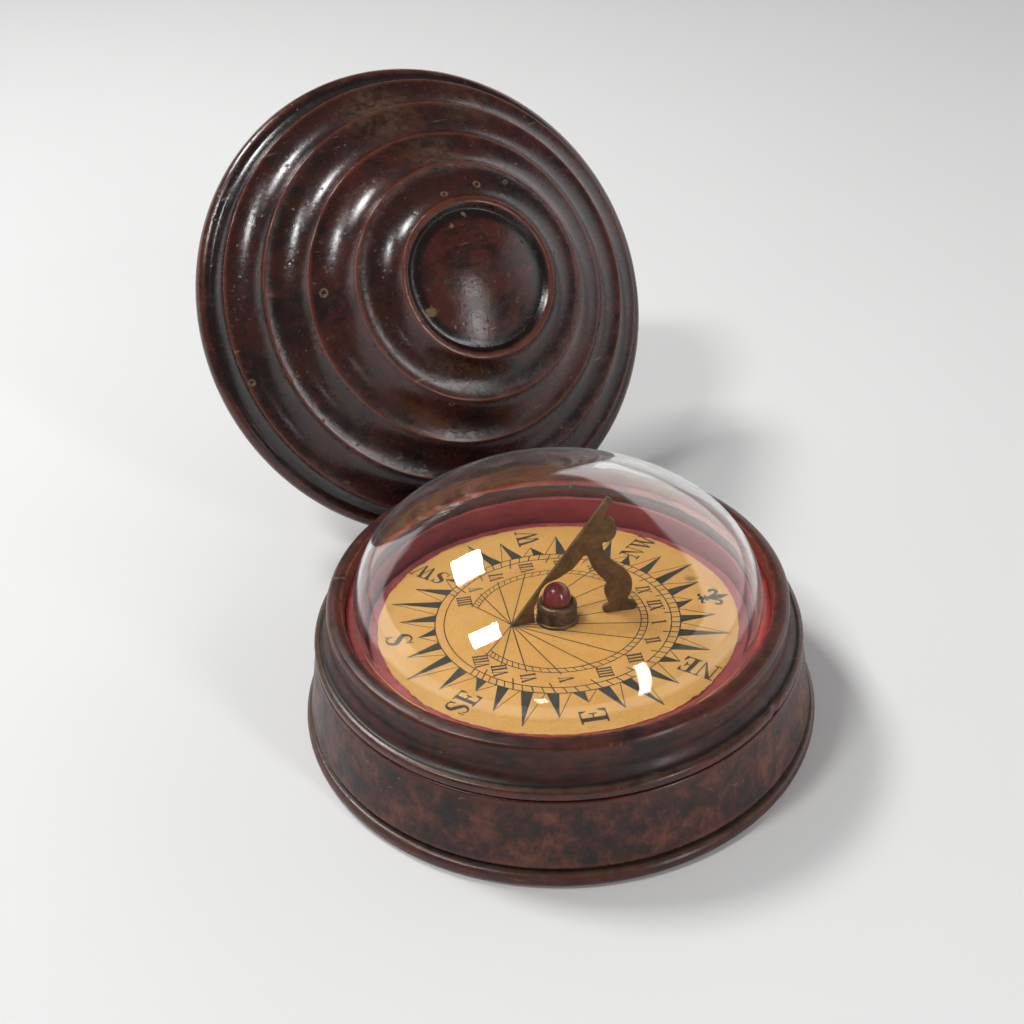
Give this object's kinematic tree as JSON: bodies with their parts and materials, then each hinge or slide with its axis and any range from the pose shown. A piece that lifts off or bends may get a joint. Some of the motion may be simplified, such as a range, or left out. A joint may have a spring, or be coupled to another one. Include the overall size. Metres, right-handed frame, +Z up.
{
  "type": "pocket sundial compass",
  "caption": "Turned wooden pocket compass with a floating dial card, a brass sundial style under a domed glass, and a stepped lid shown taken off.",
  "frame": {"origin": "centre of the case's flat foot, on the surface that it stands on", "axes": "+Z up along the case's axis and the pivot pin, -Y towards the picture's viewer, +X to the viewer's right"},
  "size_m": [0.0928, 0.1281, 0.0676],
  "materials": {
    "case_body": "polished dark fruitwood with a mottled band",
    "bowl_lining": "crimson paint on a thin wooden ring",
    "glass_dome": "clear blown glass",
    "glass_bedding": "red painted putty",
    "pivot_foot": "turned brass",
    "pivot_screws": "turned brass",
    "pivot_pin": "ground steel",
    "card_disc": "pasteboard with a red painted margin",
    "dial_print": "aged printed paper",
    "cap_cup": "tarnished brass",
    "cap_jewel": "polished garnet",
    "cap_collar": "turned brass",
    "magnet_bar": "blued steel",
    "magnet_straps": "pasted paper",
    "gnomon": "brown patinated brass",
    "lid": "polished dark fruitwood with worn edges"
  },
  "bodies": {
    "case": {"case_body": "case_body", "bowl_lining": "bowl_lining", "glass_dome": "glass_dome", "glass_bedding": "glass_bedding", "pivot_foot": "pivot_foot", "pivot_screws": "pivot_screws", "pivot_pin": "pivot_pin"},
    "card": {"card_disc": "card_disc", "dial_print": "dial_print", "cap_cup": "cap_cup", "cap_jewel": "cap_jewel", "cap_collar": "cap_collar", "magnet_bar": "magnet_bar", "magnet_straps": "magnet_straps", "gnomon": "gnomon"},
    "lid": {"lid": "lid"}
  },
  "joints": [
    {"name": "card_turn", "type": "hinge", "parent": "case", "child": "card", "pos_m": [0, 0, 0.0175], "axis": [0, 0, 1], "continuous": true},
    {"name": "lid_lift", "type": "slide", "parent": "case", "child": "lid", "axis": [0, 0, 1], "range_m": [0, 0.1]}
  ]
}
